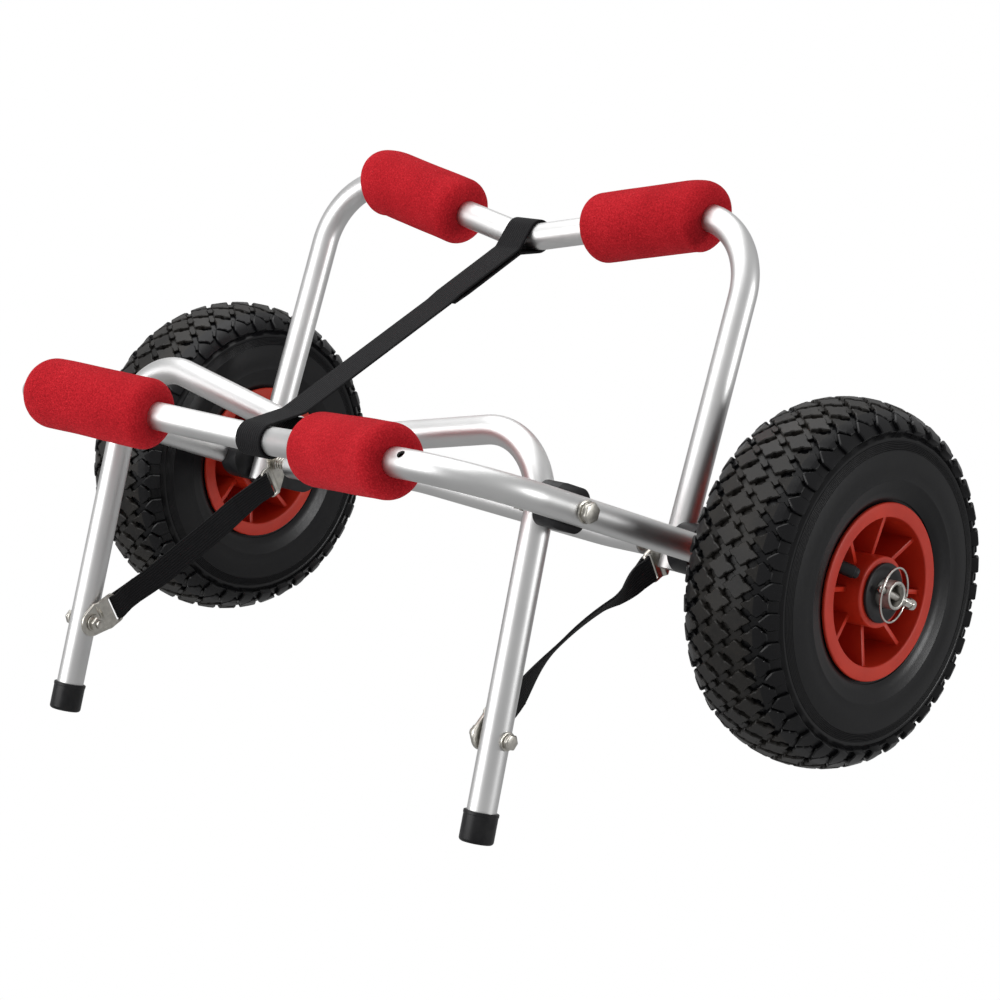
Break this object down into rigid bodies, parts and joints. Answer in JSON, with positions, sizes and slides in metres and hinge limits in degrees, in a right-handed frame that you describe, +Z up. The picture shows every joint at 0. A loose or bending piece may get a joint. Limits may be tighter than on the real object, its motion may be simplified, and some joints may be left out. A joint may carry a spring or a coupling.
{
  "type": "kayak cart",
  "caption": "Folding wheeled cart for carrying a kayak: padded V crossbars hinged together, pneumatic wheels on pinned stub axles and a kickstand held by webbing.",
  "frame": {"origin": "on the ground, under the middle of the cart's bounding box", "axes": "+X to the right along the axles, +Y to the back (the rear frame's side), +Z up"},
  "size_m": [0.7464, 0.4274, 0.3905],
  "materials": {
    "tube_alloy": "satin anodised",
    "zinc_steel": "zinc plated",
    "foam": "matt closed-cell foam",
    "black_plastic": "moulded, satin",
    "red_plastic": "moulded, semi-gloss",
    "black_rubber": "smooth",
    "tyre_rubber": "moulded tread, satin",
    "webbing": "woven webbing"
  },
  "bodies": {
    "front_frame": {"front_frame_tube": "tube_alloy", "front_left_pad": "foam", "front_right_pad": "foam", "cross_brace": "tube_alloy", "hull_strap": "webbing", "left_brace_insert": "zinc_steel", "right_brace_insert": "zinc_steel", "left_rear_block": "black_plastic", "right_rear_block": "black_plastic", "left_front_saddle": "black_plastic", "right_front_saddle": "black_plastic", "left_axle": "zinc_steel", "right_axle": "zinc_steel", "left_axle_spacer": "black_plastic", "right_axle_spacer": "black_plastic", "left_rear_pivot_bolt": "zinc_steel", "right_rear_pivot_bolt": "zinc_steel", "left_front_pivot_bolt": "zinc_steel", "right_front_pivot_bolt": "zinc_steel", "left_front_pivot_nut": "zinc_steel", "right_front_pivot_nut": "zinc_steel", "left_pivot_spring": "zinc_steel", "right_pivot_spring": "zinc_steel", "left_upper_anchor_plate": "zinc_steel", "right_upper_anchor_plate": "zinc_steel", "left_leg_strap": "webbing", "right_leg_strap": "webbing"},
    "rear_frame": {"rear_frame_tube": "tube_alloy", "rear_left_pad": "foam", "rear_right_pad": "foam"},
    "kickstand": {"kickstand_tube": "tube_alloy", "left_foot_cap": "black_rubber", "right_foot_cap": "black_rubber", "left_leg_bolt": "zinc_steel", "right_leg_bolt": "zinc_steel", "left_leg_nut": "zinc_steel", "right_leg_nut": "zinc_steel", "left_lower_anchor_plate": "zinc_steel", "right_lower_anchor_plate": "zinc_steel"},
    "left_wheel": {"left_tyre": "tyre_rubber", "left_inner_tube": "black_rubber", "left_rim": "red_plastic", "left_outer_bush": "black_plastic", "left_inner_bush": "black_plastic", "left_valve_stem": "zinc_steel", "left_valve_cap": "black_plastic"},
    "right_wheel": {"right_tyre": "tyre_rubber", "right_inner_tube": "black_rubber", "right_rim": "red_plastic", "right_outer_bush": "black_plastic", "right_inner_bush": "black_plastic", "right_valve_stem": "zinc_steel", "right_valve_cap": "black_plastic"},
    "left_lock_pin": {"left_lock_pin": "zinc_steel", "left_pin_spring": "zinc_steel"},
    "left_lock_ring": {"left_lock_ring": "zinc_steel"},
    "right_lock_pin": {"right_lock_pin": "zinc_steel", "right_pin_spring": "zinc_steel"},
    "right_lock_ring": {"right_lock_ring": "zinc_steel"}
  },
  "joints": [
    {"name": "rear_frame_fold", "type": "hinge", "parent": "front_frame", "child": "rear_frame", "pos_m": [0, 0.03517, 0.1518], "axis": [1, 0, 0], "range_deg": [0, 75], "deforming": ["hull_strap"]},
    {"name": "kickstand_fold", "type": "hinge", "parent": "front_frame", "child": "kickstand", "pos_m": [0, -0.10195, 0.21809], "axis": [1, 0, 0], "range_deg": [0, 68], "deforming": ["left_leg_strap", "right_leg_strap"]},
    {"name": "left_wheel_spin", "type": "hinge", "parent": "front_frame", "child": "left_wheel", "pos_m": [-0.319, 0.08367, 0.13], "axis": [1, 0, 0], "continuous": true},
    {"name": "right_wheel_spin", "type": "hinge", "parent": "front_frame", "child": "right_wheel", "pos_m": [0.319, 0.08367, 0.13], "axis": [1, 0, 0], "continuous": true},
    {"name": "left_lock_pin_pull", "type": "slide", "parent": "front_frame", "child": "left_lock_pin", "axis": [0, 0.8572, -0.515], "range_m": [0, 0.0275], "stiffness_N_per_m": 20, "springref_m": -0.005},
    {"name": "left_lock_ring_swing", "type": "hinge", "parent": "left_lock_pin", "child": "left_lock_ring", "pos_m": [-0.3665, 0.09953, 0.12047], "axis": [0, -0.515, -0.8572], "range_deg": [0, 100]},
    {"name": "right_lock_pin_pull", "type": "slide", "parent": "front_frame", "child": "right_lock_pin", "axis": [0, 0.8572, -0.515], "range_m": [0, 0.0275], "stiffness_N_per_m": 20, "springref_m": -0.005},
    {"name": "right_lock_ring_swing", "type": "hinge", "parent": "right_lock_pin", "child": "right_lock_ring", "pos_m": [0.3665, 0.09953, 0.12047], "axis": [0, 0.515, 0.8572], "range_deg": [0, 100]}
  ],
  "couplings": [
    {"joint": "left_lock_ring_swing", "follows": "left_lock_pin_pull", "rad_per_m": 63.4},
    {"joint": "right_lock_ring_swing", "follows": "right_lock_pin_pull", "rad_per_m": 63.4}
  ]
}
